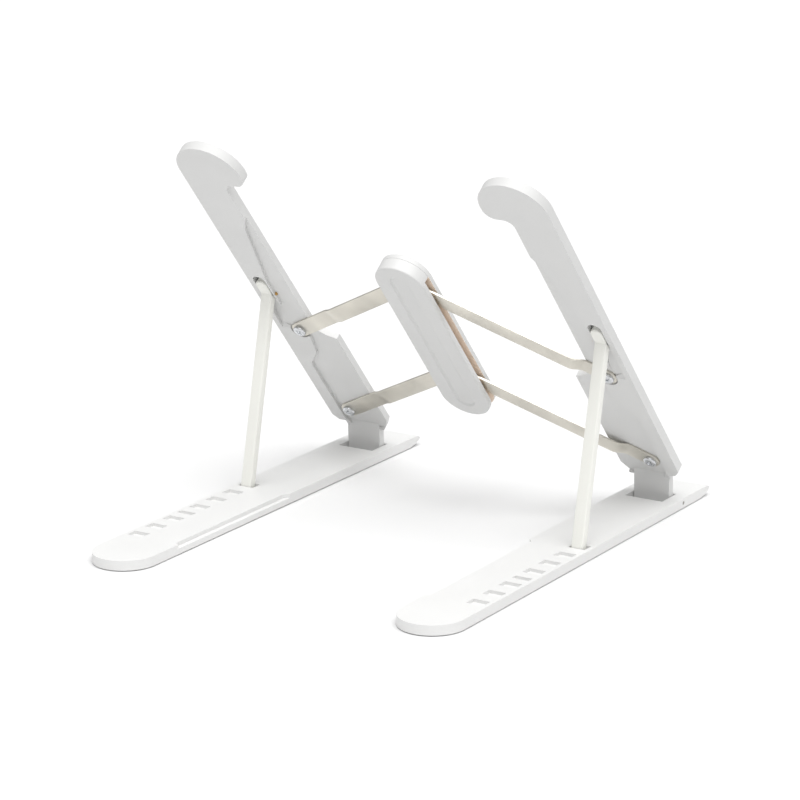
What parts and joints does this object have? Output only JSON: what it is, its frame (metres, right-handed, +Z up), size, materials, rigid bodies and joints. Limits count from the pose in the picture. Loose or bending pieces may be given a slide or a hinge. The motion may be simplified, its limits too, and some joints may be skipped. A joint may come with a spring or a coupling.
{
  "type": "laptop stand",
  "caption": "Folding plastic stand that holds a laptop at a slope on two tilting arms, with notched bases, props and a scissor-linked hub.",
  "frame": {"origin": "centre of the footprint, on the surface the stand rests on", "axes": "+Z up, +Y along the bases towards the hinge end where the user sits, +X across the stand"},
  "size_m": [0.206, 0.248, 0.1911],
  "materials": {
    "base_plastic": "fine moulded satin white",
    "arm_plastic": "fine moulded satin white",
    "hub_plastic": "fine moulded satin white",
    "strut_plastic": "satin warm white",
    "pad_silicone": "matt silicone",
    "foot_rubber": "matt rubber",
    "link_steel": "satin rolled strip",
    "screw_zinc": "bright zinc plate",
    "pin_steel": "ground",
    "pin_brass": "turned"
  },
  "bodies": {
    "left_base": {"left_base": "base_plastic", "left_base_feet": "foot_rubber", "left_hinge_pin": "pin_steel"},
    "left_arm": {"left_arm": "arm_plastic", "left_upper_pad": "pad_silicone", "left_lower_pad": "pad_silicone", "left_strut_pin": "pin_brass", "left_link_screws": "screw_zinc"},
    "left_strut": {"left_strut": "strut_plastic"},
    "left_upper_link": {"left_upper_link": "link_steel"},
    "left_lower_link": {"left_lower_link": "link_steel"},
    "hub": {"hub_lower_shell": "hub_plastic", "hub_upper_shell": "hub_plastic", "hub_screws": "screw_zinc"},
    "right_upper_link": {"right_upper_link": "link_steel"},
    "right_lower_link": {"right_lower_link": "link_steel"},
    "right_arm": {"right_arm": "arm_plastic", "right_upper_pad": "pad_silicone", "right_lower_pad": "pad_silicone", "right_strut_pin": "pin_brass", "right_link_screws": "screw_zinc"},
    "right_strut": {"right_strut": "strut_plastic"},
    "right_base": {"right_base": "base_plastic", "right_base_feet": "foot_rubber", "right_hinge_pin": "pin_steel"}
  },
  "joints": [
    {"name": "left_raise", "type": "hinge", "parent": "left_base", "child": "left_arm", "pos_m": [-0.0864, 0.0967, 0.0029], "axis": [-1, 0, 0], "range_deg": [0, 33]},
    {"name": "left_strut_swing", "type": "hinge", "parent": "left_arm", "child": "left_strut", "pos_m": [-0.0963, 0.02715, 0.10099], "axis": [1, 0, 0], "range_deg": [0, 43]},
    {"name": "left_upper_fold", "type": "hinge", "parent": "left_arm", "child": "left_upper_link", "pos_m": [-0.08951, 0.04393, 0.07804], "axis": [0, -0.7771, -0.6293], "range_deg": [0, 42]},
    {"name": "left_lower_fold", "type": "hinge", "parent": "left_arm", "child": "left_lower_link", "pos_m": [-0.08951, 0.08673, 0.02519], "axis": [0, -0.7771, -0.6293], "range_deg": [0, 42]},
    {"name": "hub_turn", "type": "hinge", "parent": "left_upper_link", "child": "hub", "pos_m": [0, 0.00798, 0.12006], "axis": [0, -0.7771, -0.6293], "range_deg": [-42, 0]},
    {"name": "right_upper_fold", "type": "hinge", "parent": "hub", "child": "right_upper_link", "pos_m": [0, 0.00798, 0.12006], "axis": [0, -0.7771, -0.6293], "range_deg": [-42, 0]},
    {"name": "right_lower_fold", "type": "hinge", "parent": "hub", "child": "right_lower_link", "pos_m": [0, 0.05077, 0.06721], "axis": [0, -0.7771, -0.6293], "range_deg": [-42, 0]},
    {"name": "right_arm_turn", "type": "hinge", "parent": "right_upper_link", "child": "right_arm", "pos_m": [0.08951, 0.04393, 0.07804], "axis": [0, -0.7771, -0.6293], "range_deg": [0, 42]},
    {"name": "right_strut_swing", "type": "hinge", "parent": "right_arm", "child": "right_strut", "pos_m": [0.0963, 0.02715, 0.10099], "axis": [1, 0, 0], "range_deg": [0, 43]},
    {"name": "right_level", "type": "hinge", "parent": "right_arm", "child": "right_base", "pos_m": [0.0864, 0.0967, 0.0029], "axis": [-1, 0, 0], "range_deg": [-33, 0]}
  ],
  "couplings": [
    {"joint": "left_strut_swing", "follows": "left_raise", "ratio": 1.3},
    {"joint": "right_strut_swing", "follows": "left_raise", "ratio": 1.3},
    {"joint": "right_level", "follows": "left_raise", "ratio": -1},
    {"joint": "left_lower_fold", "follows": "left_upper_fold", "ratio": 1},
    {"joint": "hub_turn", "follows": "left_upper_fold", "ratio": -1},
    {"joint": "right_upper_fold", "follows": "left_upper_fold", "ratio": -1},
    {"joint": "right_lower_fold", "follows": "left_upper_fold", "ratio": -1},
    {"joint": "right_arm_turn", "follows": "left_upper_fold", "ratio": 1}
  ]
}
